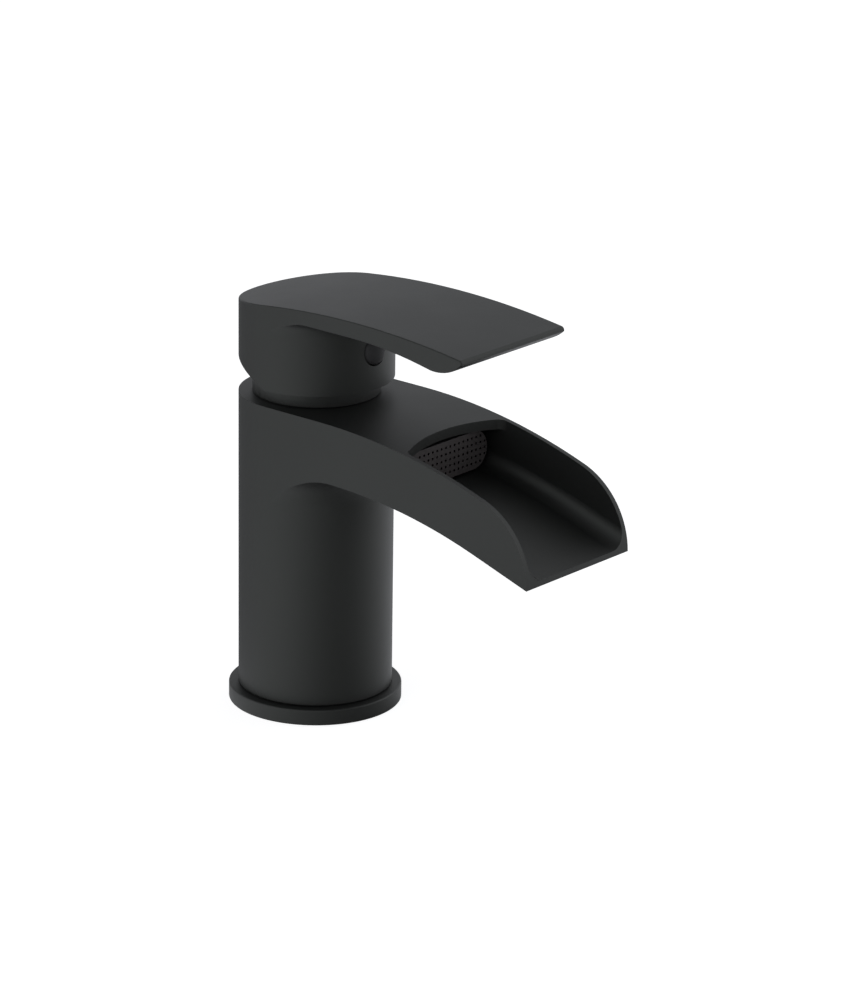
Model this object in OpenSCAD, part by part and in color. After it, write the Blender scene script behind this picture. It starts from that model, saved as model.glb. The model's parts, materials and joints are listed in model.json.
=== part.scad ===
// Single-lever basin tap with an open waterfall spout.
// Height zero is the basin's top face, the column stands on the Z axis,
// and the spout and the lever point to -Y. Side outlines are drawn in the Y and Z directions.

/* [Column and base] */
// Diameter of the column, which is also the width of the spout and of the lever
body_d = 48.2; // [46:0.1:54]
// Height of the flat deck on top of the body
deck_h = 100.6; // [96:0.05:120]
// Distance by which the base ring stands out from the column
ring_step = 3; // [2.4:0.05:6]
// Height of the base ring
ring_h = 5; // [3.5:0.1:8]
// Rounding of the column's lower edge
foot_round = 0.7; // [0.3:0.1:1.2]
// Thickness of the rubber gasket under the base ring
gasket_t = 1.6; // [1:0.1:2.4]
// Distance between the hot and cold inlets
inlet_spacing = 15; // [13.5:0.5:18]
// Core diameter of the inlet threads
inlet_core_d = 9.2; // [8.6:0.1:10]
// Depth of the inlet threads
inlet_depth = 12; // [8:0.5:18]
// Core diameter of the fixing stud's thread
stud_core_d = 6.8; // [5:0.1:8.5]
// Depth of the fixing stud's thread
stud_depth = 16; // [10:1:24]

/* [Spout] */
// Distance from the column's axis to the front of the lip
reach = 103.9; // [92:0.5:120]
// Depth of the spout where it leaves the column
spout_depth = 18.9; // [17.5:0.05:24]
// Distance from the axis to where the deck starts to fall
deck_flat = 22.7; // [16:0.1:30]
// Radius of the falling deck, seen from the side
deck_r = 198; // [170:1:260]
// Radius of the nose, seen from the side
nose_r = 25.6; // [22:0.1:30]
// Distance from the axis to where the underside starts to fall
under_flat = 26; // [20:0.5:34]
// Radius of the underside, seen from the side
under_r = 190; // [170:1:220]
// Slope of the straight stretch of the underside at the lip, in degrees
lip_angle = 17.65; // [16:0.05:19]
// Radius of the blend between the column and the spout's underside
spout_blend_r = 11.5; // [6:0.5:16]
// Thickness of the trough's side walls
wall_t = 1.7; // [1.4:0.05:3]
// Thickness of the trough's floor
floor_t = 1.65; // [1.2:0.05:2.2]
// Radius along the floor's two sides
floor_round = 5.5; // [3:0.5:7]
// Thickness of the deck over the back of the trough
deck_t = 3.1; // [2:0.1:3.6]
// Distance from the axis to the back edge of the deck opening
opening_back = 50.75; // [48:0.25:60]
// Radius of the opening's back edge, seen from above
opening_r = 52; // [40:1:80]
// Radius of the opening's two back corners
opening_corner_r = 3; // [1.5:0.25:5]

/* [Outlet grille] */
// Distance from the axis to the grille's face
grille_face = 51.35; // [50.6:0.05:56]
// Gap between the grille's face and the trough's side walls
grille_side_gap = 1.9; // [1:0.05:3]
// Height of the grille's face
grille_h = 12.2; // [11:0.1:12.4]
// Thickness of the grille's face
grille_t = 1.2; // [0.8:0.1:1.8]
// Distance from the grille's edge to the centres of the holes next to it
hole_margin = 1.19; // [1:0.01:2]
// Diameter of the grille's holes
hole_d = 0.85; // [0.6:0.05:1.2]
// Rows of holes
hole_rows = 5; // [3:2:5]
// Columns of holes
hole_columns = 20; // [10:1:20]

/* [Handle] */
// Distance from the axis to the lever's front edge
lever_reach = 77.8; // [70:0.2:95]
// Height of the lever's crown above the deck
crown_h = 34.05; // [33:0.05:38]
// Distance from the axis to the lever's crown
crown_forward = 33.6; // [28:0.05:38]
// Radius of the lever's top, seen from the side
lever_top_r = 296; // [250:1:340]
// Thickness of the lever at its crown
lever_t = 5.15; // [4:0.05:6]
// Radius of the lever's underside, seen from the side
lever_under_r = 149; // [135:1:190]
// Rounding of the front edge's upper corner
lever_tip_r = 1.2; // [0.6:0.1:1.8]
// Radius of the underside's upward sweep behind the front edge
lever_end_r = 15.1; // [12:0.1:18]
// Distance from the front edge back to the centre of that sweep
lever_end_back = 10.3; // [8:0.1:11]
// Radius of the blend between the cup and the lever's underside
lever_blend_r = 5; // [3:0.25:6]
// Gap between the deck and the cup's lower edge
cup_gap = 5.15; // [4.5:0.05:6]
// Rise of the cup's lower edge at the back, which clears the deck when the lever lifts
cup_rise = 7.75; // [7:0.25:10]
// Radius of that rising edge, seen from the side
cup_rise_r = 99; // [80:1:140]
// Running gap between the collar and the inside of the cup
cup_clear = 0.95; // [0.6:0.05:1.4]
// Diameter of the hole for the grub screw's plug
plug_hole_d = 10; // [8.4:0.1:10.4]
// Diameter of the grub screw
grub_d = 5; // [4:0.5:6]
// Length of the grub screw
grub_l = 10; // [6:0.5:14]

/* [Cartridge] */
// Diameter of the ceramic cartridge
cartridge_d = 35; // [34:0.1:36]
// Height of the cartridge from its seat to the shoulder under the nut
cartridge_h = 22; // [21.5:0.1:24]
// Length of the nut's thread in the body
nut_thread_l = 8.15; // [6:0.05:10]
// Diameter of the collar over the nut
collar_d = 39.7; // [39.2:0.1:41]
// Height of the collar's straight side above the deck
collar_side_h = 3.75; // [3:0.05:4.5]
// Height of the collar's top above the deck
collar_h = 7.4; // [7:0.05:8]
// Height of the lever's pivot above the cartridge's shoulder
pivot_up = 4.55; // [4:0.05:5.5]
// Diameter of the turning sleeve
sleeve_d = 21.2; // [20.6:0.1:22]
// Width of the square spindle
spindle_w = 8; // [7:0.1:8.4]
// Diameter of the ball at the arm's end
ball_d = 5.2; // [4.4:0.1:5.4]
// Diameter of the pivot pin
pin_d = 3; // [2:0.1:3.4]
// Lift of the lever from closed to full flow, in degrees
lift_max = 24; // [15:1:25]

/* [Hidden] */

// Finishes
matte_black = [0.2, 0.205, 0.205];
grille_grey = [0.33, 0.31, 0.31];
brass = [0.72, 0.58, 0.34];
steel = [0.66, 0.67, 0.69];
ceramic = [0.93, 0.92, 0.89];
cream_plastic = [0.85, 0.84, 0.8];
slate_plastic = [0.45, 0.5, 0.56];
rubber_black = [0.09, 0.09, 0.09];

// Shared clearances, and how finely circles are drawn
cut = 0.5;
slip_fit = 0.1;
run_fit = 0.08;
seat_fit = 0.15;
arc_fn = 720;
small_fn = 32;
$fn = 96;

// Column and base
body_r = body_d / 2;
ring_r = body_r + ring_step;
ring_edge = 0.3;
spigot_inset = 2.6;
spigot_r = body_r - spigot_inset;
spigot_up = 0.8;
gasket_margin = 1;
gasket_in = spigot_r + gasket_margin;
gasket_out = ring_r - gasket_margin;
inlet_forward = 4.5;
inlet_bore_r = 3.2;
stud_back = 11;

// Cartridge heights, from the body's seat up
base_t = 4;
fixed_disc_t = 3;
moving_disc_t = 2.5;
ball_up = 3.45;
flange_dip = 0.85;
rail_h = 1.3;
flange_gap = 0.1;
flange_t = 3.4;
neck_h = 12.8;
sleeve_h = 12.4;
shoulder_z = deck_h - nut_thread_l;
seat_z = shoulder_z - cartridge_h;
pivot_z = shoulder_z + pivot_up;
fixed_disc_z = seat_z + base_t;
moving_disc_z = fixed_disc_z + fixed_disc_t;
carrier_z = moving_disc_z + moving_disc_t;
ball_z = carrier_z + ball_up;
arm_l = pivot_z - ball_z;
flange_z = ball_z + ball_d / 2 - flange_dip;
carrier_top = flange_z - flange_gap;
ceiling_z = flange_z + flange_t + flange_gap;
sleeve_top = shoulder_z + sleeve_h;

// Cartridge radii
cartridge_r = cartridge_d / 2;
chamber_r = cartridge_r + seat_fit;
housing_wall = 1.9;
cavity_r = cartridge_r - housing_wall;
flange_r = cavity_r - 2 * slip_fit;
sleeve_r = sleeve_d / 2;
neck_bore_r = sleeve_r + run_fit;
neck_wall = 1.72;
neck_r = neck_bore_r + neck_wall;

// The moving disc, off centre by half its travel when the tap is closed
disc_travel = arm_l * sin(lift_max);
disc_back = disc_travel / 2;
disc_r = cavity_r - disc_back - 2 * slip_fit;
pocket_r = 5;
pocket_back = 3.5;
pocket_t = 1.2;
disc_peg_r = 1.2;
disc_peg_x = 7.5;
disc_peg_l = 1;
ball_slot_gap = 0.2;
rail_x = 8;
rail_w = 2;
rail_l = 14;
rail_gap = 0.15;

// Spindle and its pin
foot_l = 4.5;
pin_inset = 1.1;
arm_share = 0.86;

// Ports through the cartridge's base and fixed disc, and in the body's seat
port_r = 2.4;
port_x = 5.5;
port_forward = 4.5;
outlet_r = 3;
outlet_back = 4.5;
PORTS = [[-port_x, -port_forward, port_r], [port_x, -port_forward, port_r], [0, outlet_back, outlet_r]];
port_ring_d = 1.5;
port_ring_gap = 0.45;
base_peg_r = 1.9;
base_peg_x = 12.2;
base_peg_back = 6;
base_peg_l = 2;

// Seals round the housing and the sleeve
housing_ring_d = 1.7;
housing_ring_down = 2;
sleeve_ring_d = 1;
sleeve_ring_gap = 1.6;

// Nut and collar
nut_over = 0.9;
nut_r = cartridge_r + nut_over;
nut_bore_r = neck_r + slip_fit;
nut_hex_w = 31;
nut_hex_h = 3.3;
nut_boss_r = 14.4;
nut_boss_h = 5.9;
collar_ring_d = 1.4;
collar_ring_up = 4.7;
collar_r = collar_d / 2;
collar_t = 1.35;
collar_hole_r = 10.4;
collar_foot = 0.5;
collar_gap = 0.3;
collar_round = collar_h - collar_side_h;
collar_bore_r = nut_boss_r + 2 * collar_gap;

// Waterways in the body
web_t = 1.5;
shell_t = 1.6;
rise_in_r = chamber_r + web_t;
rise_out_r = body_r - shell_t;
rise_angle = 56;
well_depth = 12.5;
cross_h = 5;
cross_w = 5.2;
passage_below_seat = 4.5;
port_bore_l = 6.3;
inlet_x = inlet_spacing / 2;

// Spout outline, seen from the side
deck_y = -deck_flat;
deck_cz = deck_h - deck_r;
nose_y = nose_r - reach;
nose_z = deck_cz + sqrt(pow(deck_r - nose_r, 2) - pow(nose_y - deck_y, 2));
nose_turn = asin((deck_y - nose_y) / (deck_r - nose_r));
nose_start_y = deck_y - deck_r * sin(nose_turn);
under_y = -under_flat;
under_z = deck_h - spout_depth;
under_cz = under_z - under_r;
line_y = under_y - under_r * sin(lip_angle);
line_z = under_cz + under_r * cos(lip_angle);

// Trough
trough_w = body_d - 2 * wall_t;
floor_r = under_r + floor_t;
fillet_over = 0.01;
cavity_back = 4.85;
cavity_y = -(grille_face - cavity_back);

// Grille insert
grille_w = trough_w - 2 * grille_side_gap;
hole_pitch = (grille_w - 2 * hole_margin) / (hole_columns - 1);
grille_up = 7.05;
grille_z = under_z + grille_up;
skirt_inset = 0.8;
skirt_t = 1.2;
skirt_seat = 4;
skirt_l = cavity_back + skirt_seat - grille_t;
skirt_w = grille_w - 2 * skirt_inset;
skirt_h = grille_h - 2 * skirt_inset;
seal_t = 0.6;
seal_w = 1;
seal_back = 1.4;
channel_inset = 1.5;
channel_l = 15.5;
channel_w = skirt_w - 2 * channel_inset;
channel_h = skirt_h - 2 * channel_inset;
throat_w = 19;
throat_dip = 1;

// Handle
crown_z = deck_h + crown_h;
crown_y = -crown_forward;
top_cz = crown_z - lever_top_r;
tip_y = lever_tip_r - lever_reach;
tip_z = top_cz + sqrt(pow(lever_top_r - lever_tip_r, 2) - pow(tip_y - crown_y, 2));
tip_turn_y = crown_y + (tip_y - crown_y) * lever_top_r / (lever_top_r - lever_tip_r);
lever_under_z = crown_z - lever_t;
lever_under_cz = lever_under_z - lever_under_r;
lever_end_y = lever_end_back - lever_reach;
lever_end_z = lever_under_cz
    + sqrt(pow(lever_under_r + lever_end_r, 2) - pow(lever_end_y - crown_y, 2));
lever_turn_share = lever_under_r / (lever_under_r + lever_end_r);
lever_turn_y = crown_y + (lever_end_y - crown_y) * lever_turn_share;
cup_z = deck_h + cup_gap;
cup_rise_a = atan(cup_rise / body_r) + asin(norm([cup_rise, body_r]) / (2 * cup_rise_r));
cup_in_r = collar_r + cup_clear;
hub_gap = 5.8;
hub_r = 7.5;
hub_z = deck_h + collar_h + hub_gap;
cup_roof = 5;
cup_roof_z = lever_under_z - cup_roof;
rib_w = 11;
socket_w = spindle_w + 2 * run_fit;
socket_l = 13;
socket_top = 0.4;
spindle_top = hub_z + socket_l - socket_top;
grub_up = 4.4;
grub_z = hub_z + grub_up;
grub_key_w = 2.5;
grub_key_l = 3;
plug_seat = 4;
plug_gap = 0.4;
plug_dome_l = 1.5;
plug_rim_l = 0.7;
plug_r = plug_hole_d / 2 - plug_gap;
plug_dome_r = (pow(plug_r, 2) + pow(plug_dome_l, 2)) / (2 * plug_dome_l);

// A side outline made as wide as asked for, centred on the middle plane
module across(w) {
  rotate([90, 0, 90]) translate([0, 0, -w / 2]) linear_extrude(height = w) children();
}

// A pin or a hole that runs along X through the middle plane
module pin_x(r, w) {
  rotate([0, 90, 0]) cylinder(r = r, h = w, center = true);
}

// A pin or a hole that runs forward from y, at height z
module pin_forward(r, l, y, z) {
  translate([0, y, z]) rotate([90, 0, 0]) cylinder(r = r, h = l);
}

module ring(outer, inner, h) {
  difference() {
    cylinder(r = outer, h = h);
    translate([0, 0, -cut]) cylinder(r = inner, h = h + 2 * cut);
  }
}

// A round-section ring that lies flat, its section centred at height zero
module o_ring(mid_r, d) {
  rotate_extrude() translate([mid_r, 0]) circle(d = d, $fn = small_fn);
}

// A box centred on the middle plane, from y0 to y1 and z0 to z1
module block(w, y0, y1, z0, z1) {
  translate([-w / 2, y0, z0]) cube([w, y1 - y0, z1 - z0]);
}

// A flat stadium standing upright, extruded forward from y
module stadium(w, h, l, y) {
  translate([0, y, grille_z]) rotate([90, 0, 0]) linear_extrude(height = l) union() {
    square([w - h, h], center = true);
    for (side = [-1, 1]) translate([side * (w - h) / 2, 0]) circle(d = h);
  }
}

// The blend ring between a column and a flat underside at height z, kept to the front
module front_blend(r, z) {
  intersection() {
    translate([0, 0, z - r]) rotate_extrude() difference() {
      translate([body_r - cut, 0]) square([r + cut, r + cut]);
      translate([body_r + r, 0]) circle(r = r);
    }
    block(body_d, -(body_r + r + cut), 0, z - r, z + cut);
  }
}

module spout_outline() {
  low_z = nose_z - nose_r;
  difference() {
    union() {
      translate([deck_y, low_z]) square([-deck_y, deck_h - low_z]);
      intersection() {
        translate([deck_y, deck_cz]) circle(r = deck_r, $fn = arc_fn);
        translate([nose_start_y, low_z]) square([deck_y - nose_start_y, deck_h - low_z]);
      }
      translate([nose_y, nose_z]) circle(r = nose_r, $fn = arc_fn);
    }
    under_outline(0);
  }
}

// Everything below the spout's underside, raised by t for the trough's floor
module under_outline(t) {
  low_z = nose_z - 2 * nose_r;
  lip_y = -reach - nose_r;
  start = [line_y - t * sin(lip_angle), line_z + t * cos(lip_angle)];
  translate([under_y, low_z]) square([-under_y + cut, under_z + t - low_z]);
  intersection() {
    translate([under_y, under_cz]) circle(r = under_r + t, $fn = arc_fn);
    translate([start[0], low_z]) square([under_y - start[0], under_z + t - low_z]);
  }
  fall = tan(lip_angle) * (start[0] - lip_y);
  polygon([start, [lip_y, start[1] - fall], [lip_y, low_z], [start[0], low_z]]);
}

// Cross-section of the trough's floor, whose fillets end just past the side walls: floor at x = 0
module floor_section() {
  inner = trough_w / 2 + fillet_over - floor_round;
  outer = trough_w / 2 + cut;
  difference() {
    translate([-cut, -outer]) square([cut + floor_round, 2 * outer]);
    translate([0, -inner]) square([2 * floor_round, 2 * inner]);
    for (side = [-1, 1]) translate([floor_round, side * inner]) circle(r = floor_round);
  }
}

// The floor swept first along its arc and then straight to the lip
module floor_sweep() {
  translate([0, under_y, under_cz]) {
    intersection() {
      rotate([0, 90, 0]) rotate_extrude($fn = arc_fn) translate([floor_r, 0]) floor_section();
      rotate([lip_angle, 0, 0]) translate([-body_r, 0, 0]) cube([body_d, floor_r, floor_r + spout_depth]);
      block(body_d, -floor_r, 0, 0, floor_r + spout_depth);
    }
    rotate([lip_angle, 0, 0]) translate([0, 0, floor_r]) rotate([90, 0, 0])
      linear_extrude(height = reach) rotate(90) floor_section();
  }
}

// The opening in the deck, seen from above, as a tall prism
module opening_prism() {
  mid = -(opening_back + opening_r);
  half = trough_w / 2;
  corner_x = half - opening_corner_r;
  corner_y = mid + sqrt(pow(opening_r - opening_corner_r, 2) - pow(corner_x, 2));
  side_share = corner_x / (opening_r - opening_corner_r);
  touch_x = opening_r * side_share;
  touch_y = mid + opening_r * sqrt(1 - pow(side_share, 2));
  linear_extrude(height = 2 * deck_h) union() {
    intersection() {
      translate([0, mid]) circle(r = opening_r, $fn = arc_fn);
      translate([-touch_x, -reach - nose_r]) square([2 * touch_x, reach + nose_r]);
    }
    for (side = [-1, 1]) translate([side * corner_x, corner_y]) circle(r = opening_corner_r);
    translate([-half, -reach - nose_r]) square([trough_w, reach + nose_r + corner_y]);
  }
}

module trough() {
  front_y = -reach - nose_r;
  difference() {
    across(trough_w) difference() {
      translate([front_y, under_z - spout_depth]) square([cavity_y - front_y, 3 * spout_depth]);
      under_outline(floor_t - cut / 2);
    }
    floor_sweep();
    difference() {
      across(body_d) difference() {
        translate([-opening_back - opening_r / 2, under_z]) square([opening_r, 2 * spout_depth]);
        intersection() {
          translate([deck_y, deck_cz]) circle(r = deck_r - deck_t, $fn = arc_fn);
          translate([-reach, under_z - spout_depth]) square([reach, 2 * spout_depth]);
        }
      }
      opening_prism();
    }
  }
}

module body() {
  color(matte_black) difference() {
    union() {
      translate([0, 0, ring_h + foot_round]) {
        cylinder(r = body_r, h = deck_h - ring_h - foot_round);
        rotate_extrude() translate([body_r - foot_round, 0]) circle(r = foot_round, $fn = small_fn);
      }
      translate([0, 0, ring_h]) cylinder(r = body_r - foot_round, h = 2 * foot_round);
      translate([0, 0, spigot_up]) cylinder(r = spigot_r, h = ring_h);
      across(body_d) spout_outline();
      front_blend(spout_blend_r, under_z);
    }
    trough();
    grille_channel();
    cartridge_chamber();
    waterways();
  }
}

// The way from the rising passage to the back of the grille, with the seat of the grille's skirt
module grille_channel() {
  seat_y = cavity_y + skirt_seat;
  back_y = seat_y + channel_l;
  low_z = grille_z - channel_h / 2;
  stadium(skirt_w + 2 * slip_fit, skirt_h + 2 * slip_fit, skirt_seat + cut, seat_y);
  stadium(channel_w, channel_h, channel_l + cut, back_y);
  block(throat_w, back_y - cut, -rise_in_r - slip_fit, low_z, low_z + channel_h - throat_dip);
}

module cartridge_chamber() {
  translate([0, 0, seat_z]) cylinder(r = chamber_r, h = deck_h);
  translate([0, 0, shoulder_z]) cylinder(r = nut_r + slip_fit, h = deck_h);
  base_pegs(base_peg_r + slip_fit, base_peg_l + slip_fit);
}

module waterways() {
  low_z = seat_z - well_depth;
  rise_top = grille_z + channel_h / 2 - throat_dip;
  half_w = body_d * tan(rise_angle / 2);
  for (side = [-1, 1]) translate([side * inlet_x, -inlet_forward, 0]) {
    translate([0, 0, spigot_up - cut]) cylinder(d = inlet_core_d, h = inlet_depth + cut);
    translate([0, 0, spigot_up]) cylinder(r = inlet_bore_r, h = seat_z - passage_below_seat - spigot_up);
  }
  translate([0, stud_back, spigot_up - cut]) cylinder(d = stud_core_d, h = stud_depth + cut);
  for (p = PORTS) if (p[1] < 0)
    translate([p[0], p[1], seat_z - port_bore_l]) cylinder(r = p[2], h = port_bore_l + cut);
  translate([0, outlet_back, low_z]) cylinder(r = outlet_r, h = well_depth + cut);
  block(cross_w, -rise_in_r - slip_fit, outlet_back, low_z, low_z + cross_h);
  intersection() {
    translate([0, 0, low_z]) ring(rise_out_r, rise_in_r, rise_top - low_z);
    translate([0, 0, low_z]) linear_extrude(height = rise_top - low_z)
      polygon([[0, 0], [-half_w, -body_d], [half_w, -body_d]]);
  }
}

module base_ring() {
  color(matte_black) difference() {
    union() {
      cylinder(r = ring_r, h = ring_h - ring_edge);
      translate([0, 0, ring_h - ring_edge]) cylinder(r1 = ring_r, r2 = ring_r - ring_edge, h = ring_edge);
    }
    translate([0, 0, -cut]) cylinder(r = spigot_r + slip_fit, h = ring_h + 2 * cut);
    translate([0, 0, -cut]) ring(gasket_out, gasket_in, gasket_t + cut);
  }
}

module base_gasket() {
  color(rubber_black) ring(gasket_out - slip_fit, gasket_in + slip_fit, gasket_t);
}

// The two locating pegs under the cartridge
module base_pegs(r, l) {
  for (side = [-1, 1]) translate([side * base_peg_x, base_peg_back, seat_z - l])
    cylinder(r = r, h = l + slip_fit);
}

// The grooves or the rings round the three ports, on a face at height z
module port_grooves(z, side) {
  for (p = PORTS) translate([p[0], p[1], z]) mirror([0, 0, side < 0 ? 1 : 0])
    translate([0, 0, -cut]) ring(p[2] + port_ring_gap + port_ring_d, p[2] + port_ring_gap, port_ring_d + cut);
}

module port_rings(z) {
  for (p = PORTS) translate([p[0], p[1], z + port_ring_d / 2])
    o_ring(p[2] + port_ring_gap + port_ring_d / 2, port_ring_d);
}

module port_holes(z, h) {
  for (p = PORTS) translate([p[0], p[1], z - cut]) cylinder(r = p[2], h = h + 2 * cut);
}

module cartridge_base() {
  color(cream_plastic) difference() {
    union() {
      translate([0, 0, seat_z]) cylinder(r = cartridge_r, h = base_t);
      base_pegs(base_peg_r, base_peg_l);
    }
    port_holes(seat_z, base_t);
    port_grooves(seat_z, 1);
    port_grooves(fixed_disc_z, -1);
  }
}

module seat_seals() {
  color(rubber_black) port_rings(seat_z);
}

module disc_seals() {
  color(rubber_black) port_rings(fixed_disc_z - port_ring_d);
}

module fixed_disc() {
  color(ceramic) difference() {
    translate([0, 0, fixed_disc_z]) cylinder(r = cavity_r - slip_fit, h = fixed_disc_t);
    port_holes(fixed_disc_z, fixed_disc_t);
  }
}

module disc_pegs(r, l) {
  for (side = [-1, 1]) translate([side * disc_peg_x, disc_back, carrier_z - l])
    cylinder(r = r, h = l + slip_fit);
}

module moving_disc() {
  color(ceramic) difference() {
    translate([0, disc_back, moving_disc_z]) cylinder(r = disc_r, h = moving_disc_t);
    translate([0, pocket_back, moving_disc_z - cut]) cylinder(r = pocket_r, h = pocket_t + cut);
    disc_pegs(disc_peg_r + slip_fit, disc_peg_l + slip_fit);
  }
}

module disc_carrier() {
  slot_w = ball_d + 2 * ball_slot_gap;
  floor_z = ball_z - ball_d / 2 - ball_slot_gap;
  color(slate_plastic) difference() {
    union() {
      translate([0, disc_back, carrier_z]) cylinder(r = disc_r, h = carrier_top - carrier_z);
      disc_pegs(disc_peg_r, disc_peg_l);
      for (side = [-1, 1]) translate([side * rail_x - rail_w / 2, disc_back - rail_l / 2, carrier_z])
        cube([rail_w, rail_l, carrier_top + rail_h - carrier_z]);
    }
    translate([-slot_w / 2, -slot_w / 2, floor_z]) cube([slot_w, slot_w, ball_d + cut * 2]);
  }
}

// The slots that let the spindle tilt: its bar above the pivot, its foot round it, its arm below
module spindle_slots() {
  half = spindle_w / 2;
  w = spindle_w + 2 * seat_fit;
  arm_w = ball_d + 2 * ball_slot_gap;
  up_l = sleeve_top - pivot_z;
  foot_z = pivot_z - foot_l;
  arm_top = flange_z + flange_t + flange_gap;
  swing_mid = half / cos(lift_max);
  swing_up = up_l * tan(lift_max) + swing_mid;
  swing_foot = foot_l * sin(lift_max) + half * cos(lift_max);
  swing_arm = (pivot_z - arm_top) * tan(lift_max) + ball_d / 2;
  block(w, -swing_mid - ball_slot_gap, swing_up + ball_slot_gap, pivot_z - half, sleeve_top + cut);
  block(w, -swing_foot - ball_slot_gap, swing_mid + ball_slot_gap, foot_z - half / 2, pivot_z);
  block(arm_w, -swing_arm - ball_slot_gap, arm_w / 2, flange_z - cut, foot_z);
  block(arm_w, -disc_travel - ball_d / 2 - ball_slot_gap, arm_w / 2, flange_z - cut, arm_top);
}

module turning_sleeve() {
  groove_w = rail_w + 2 * rail_gap;
  ring_z = ceiling_z + sleeve_ring_gap;
  color(slate_plastic) difference() {
    union() {
      translate([0, 0, flange_z]) cylinder(r = flange_r, h = flange_t);
      translate([0, 0, flange_z]) cylinder(r = sleeve_r, h = sleeve_top - flange_z);
    }
    spindle_slots();
    translate([0, 0, pivot_z]) pin_x(pin_d / 2, 2 * sleeve_r);
    for (side = [-1, 1]) translate([side * rail_x - groove_w / 2, -flange_r, flange_z - cut])
      cube([groove_w, 2 * flange_r, rail_h + rail_gap + cut]);
    translate([0, 0, ring_z - sleeve_ring_d / 2 - run_fit])
      ring(sleeve_r + cut, neck_bore_r - sleeve_ring_d, sleeve_ring_d + 2 * run_fit);
  }
}

module sleeve_seal() {
  color(rubber_black) translate([0, 0, ceiling_z + sleeve_ring_gap])
    o_ring(neck_bore_r - sleeve_ring_d / 2, sleeve_ring_d);
}

module pivot_pin() {
  color(steel) translate([0, 0, pivot_z]) pin_x(pin_d / 2, 2 * (sleeve_r - pin_inset));
}

module lever_spindle() {
  half = spindle_w / 2;
  color(steel) difference() {
    union() {
      block(spindle_w, -half, half, pivot_z - foot_l, spindle_top);
      translate([0, 0, ball_z]) cylinder(d = ball_d * arm_share, h = arm_l);
      translate([0, 0, ball_z]) sphere(d = ball_d);
    }
    translate([0, 0, pivot_z]) pin_x(pin_d / 2 + run_fit, 2 * spindle_w);
  }
}

module cartridge_housing() {
  ring_z = shoulder_z - housing_ring_down;
  color(cream_plastic) difference() {
    union() {
      translate([0, 0, fixed_disc_z]) cylinder(r = cartridge_r, h = shoulder_z - fixed_disc_z);
      translate([0, 0, shoulder_z]) cylinder(r = neck_r, h = neck_h);
    }
    translate([0, 0, fixed_disc_z - cut]) cylinder(r = cavity_r, h = ceiling_z - fixed_disc_z + cut);
    translate([0, 0, ceiling_z]) cylinder(r = neck_bore_r, h = deck_h);
    translate([0, 0, ring_z - housing_ring_d / 2 - run_fit])
      ring(cartridge_r + cut, chamber_r - housing_ring_d, housing_ring_d + 2 * run_fit);
  }
}

module housing_seal() {
  color(rubber_black) translate([0, 0, shoulder_z - housing_ring_down])
    o_ring(chamber_r - housing_ring_d / 2, housing_ring_d);
}

module cartridge_nut() {
  color(brass) difference() {
    union() {
      translate([0, 0, shoulder_z]) cylinder(r = nut_r, h = nut_thread_l);
      translate([0, 0, deck_h]) cylinder(r = nut_hex_w / sqrt(3), h = nut_hex_h, $fn = 6);
      translate([0, 0, deck_h]) cylinder(r = nut_boss_r, h = nut_boss_h);
    }
    translate([0, 0, shoulder_z - cut]) cylinder(r = nut_bore_r, h = deck_h);
    translate([0, 0, deck_h + collar_ring_up - collar_ring_d / 2 - run_fit])
      ring(nut_boss_r + cut, collar_bore_r - collar_ring_d, collar_ring_d + 2 * run_fit);
  }
}

module collar_ring() {
  color(rubber_black) translate([0, 0, deck_h + collar_ring_up])
    o_ring(collar_bore_r - collar_ring_d / 2, collar_ring_d);
}

module collar() {
  inner_top = nut_hex_h + collar_gap;
  color(matte_black) translate([0, 0, deck_h]) difference() {
    union() {
      cylinder(r = collar_r - collar_foot, h = collar_h - collar_round);
      translate([0, 0, collar_foot]) {
        cylinder(r = collar_r, h = collar_side_h - collar_foot);
        rotate_extrude() translate([collar_r - collar_foot, 0]) circle(r = collar_foot, $fn = small_fn);
      }
      translate([0, 0, collar_side_h]) rotate_extrude()
        translate([collar_r - collar_round, 0]) circle(r = collar_round);
      cylinder(r = collar_r - collar_round, h = collar_h);
    }
    translate([0, 0, -collar_h]) cylinder(r = collar_r + cut, h = collar_h);
    translate([0, 0, -cut]) cylinder(r = collar_r - collar_t, h = inner_top + cut);
    translate([0, 0, -cut]) cylinder(r = collar_bore_r, h = nut_boss_h + collar_gap + cut);
    translate([0, 0, -cut]) cylinder(r = collar_hole_r, h = collar_h + 2 * cut);
  }
}

// The lever's outline from the side, with its underside flat as far forward as its crown
module lever_outline() {
  low_z = lever_under_z - lever_t;
  difference() {
    translate([-lever_reach, low_z]) square([lever_reach, crown_z - low_z]);
    translate([crown_y, low_z - cut]) square([-crown_y + cut, lever_under_z - low_z + cut]);
    intersection() {
      translate([crown_y, lever_under_cz]) circle(r = lever_under_r, $fn = arc_fn);
      translate([lever_turn_y, low_z - cut]) square([crown_y - lever_turn_y, 2 * lever_t]);
    }
    difference() {
      translate([-lever_reach - cut, low_z - cut]) square([lever_reach + cut + lever_turn_y, 2 * lever_t]);
      translate([lever_end_y, lever_end_z]) circle(r = lever_end_r, $fn = arc_fn);
    }
  }
}

// The arched top and the rounded front edge that both the cup and the lever are cut to
module arched_top() {
  across(2 * body_d) union() {
    intersection() {
      translate([crown_y, top_cz]) circle(r = lever_top_r, $fn = arc_fn);
      translate([tip_turn_y, deck_h]) square([body_d - tip_turn_y, crown_h + cut]);
    }
    translate([tip_y, tip_z]) circle(r = lever_tip_r);
    translate([-lever_reach, deck_h]) square([lever_reach + tip_turn_y, tip_z - deck_h]);
  }
}

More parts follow.
